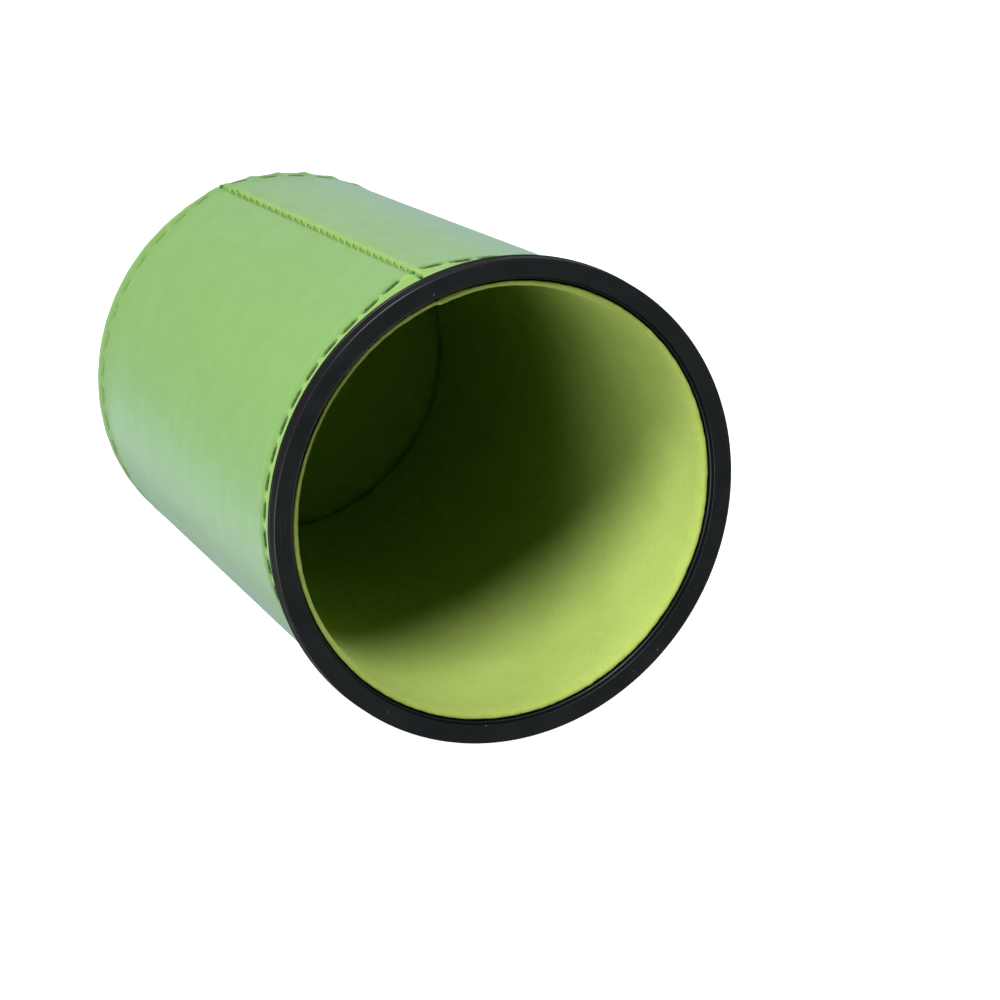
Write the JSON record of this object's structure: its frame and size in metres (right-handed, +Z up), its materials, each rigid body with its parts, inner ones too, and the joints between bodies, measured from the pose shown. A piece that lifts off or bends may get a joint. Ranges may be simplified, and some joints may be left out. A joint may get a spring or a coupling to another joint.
{
  "type": "dice cup",
  "caption": "Felt-lined cup for shaking and throwing dice: a flanged plastic tub in a sewn, slightly tapered leather sleeve.",
  "frame": {"origin": "centre of the base, on the face the cup stands on", "axes": "+Z up the cup's axis from the base to the open mouth, -Y through the leather's side seam"},
  "size_m": [0.08, 0.08, 0.095],
  "materials": {
    "tub_plastic": "black moulded plastic, satin, with fine scratches",
    "leather": "apple-green smooth leather, very fine grain, soft sheen",
    "felt": "yellow-green felt, short nap",
    "thread": "green twisted polyester sewing thread",
    "tack_thread": "darker green thread, melted at the ends",
    "card": "grey-brown pulp board"
  },
  "bodies": {
    "root": {"inner_tub": "tub_plastic", "felt_wall_lining": "felt", "felt_floor_disc": "felt", "stiffener_wrap": "card", "leather_sleeve": "leather", "base_board": "card", "leather_base": "leather", "rim_hem_needle_thread": "thread", "rim_hem_bobbin_thread": "thread", "base_hem_needle_thread": "thread", "base_hem_bobbin_thread": "thread", "side_seam_thread": "thread", "seam_bar_tacks": "tack_thread"}
  },
  "joints": []
}
